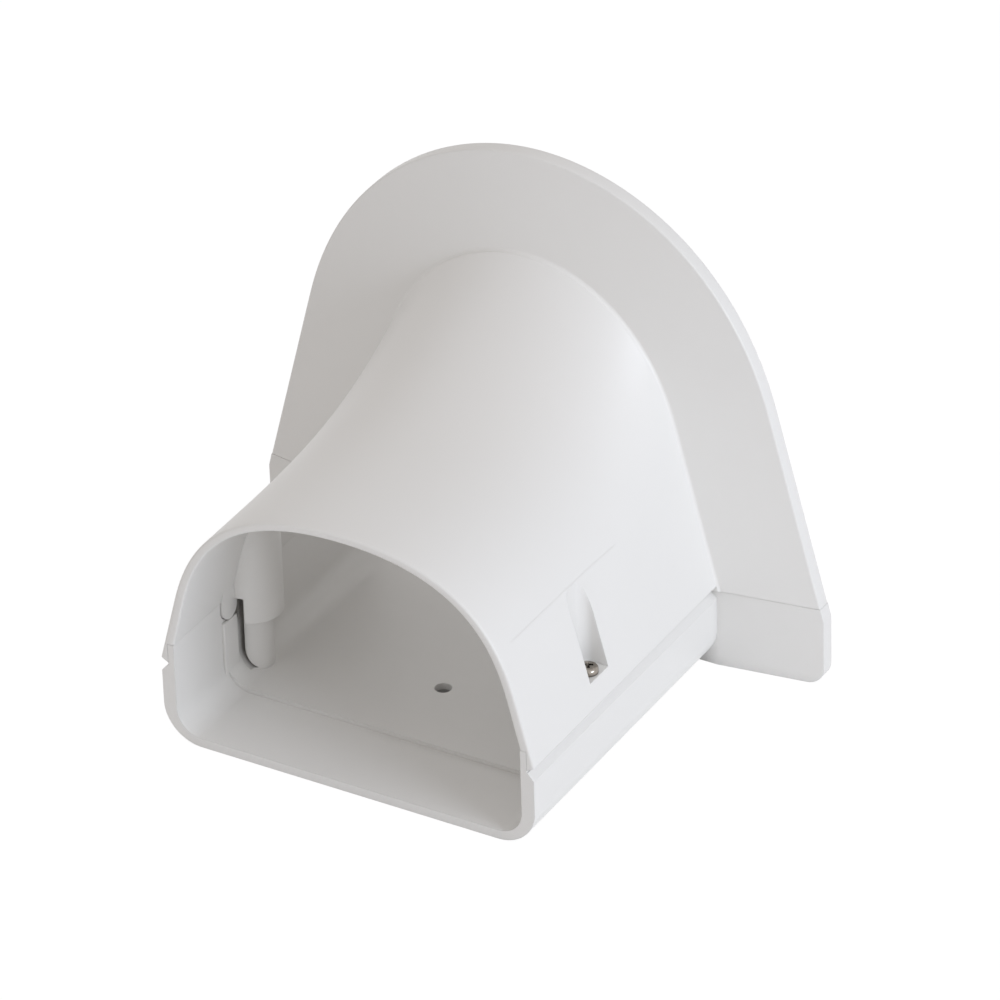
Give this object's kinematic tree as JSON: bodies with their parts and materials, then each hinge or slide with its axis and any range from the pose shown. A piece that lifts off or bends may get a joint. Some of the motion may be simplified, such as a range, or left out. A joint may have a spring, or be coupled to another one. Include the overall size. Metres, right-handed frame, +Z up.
{
  "type": "pipe cover end cap",
  "caption": "Flanged end cap for air-conditioner pipe cover: a tub base, a flared hood lapped over it and the tapping screws that join them, with a wide arched flange round the pipe hole.",
  "frame": {"origin": "centre of the overall box's underside: midway across the width and along the depth, in the plane that the base is fixed to", "axes": "+X across the body, +Y along the pipe run from the mouth to the flange, +Z up from the surface that the base is fixed to"},
  "size_m": [0.1226, 0.076, 0.0989],
  "materials": {
    "base_shell": "fine satin, as moulded",
    "cover_shell": "fine satin, as moulded",
    "screws": "zinc plated"
  },
  "bodies": {
    "base": {"base": "base_shell"},
    "cover": {"cover": "cover_shell"},
    "screw_left": {"screw_left": "screws"},
    "screw_right": {"screw_right": "screws"}
  },
  "joints": [
    {"name": "cover_lift", "type": "slide", "parent": "base", "child": "cover", "axis": [0, 0, 1], "range_m": [0, 0.05]},
    {"name": "screw_left_withdraw", "type": "slide", "parent": "cover", "child": "screw_left", "axis": [0, 0, 1], "range_m": [0, 0.02]},
    {"name": "screw_right_withdraw", "type": "slide", "parent": "cover", "child": "screw_right", "axis": [0, 0, 1], "range_m": [0, 0.02]}
  ]
}
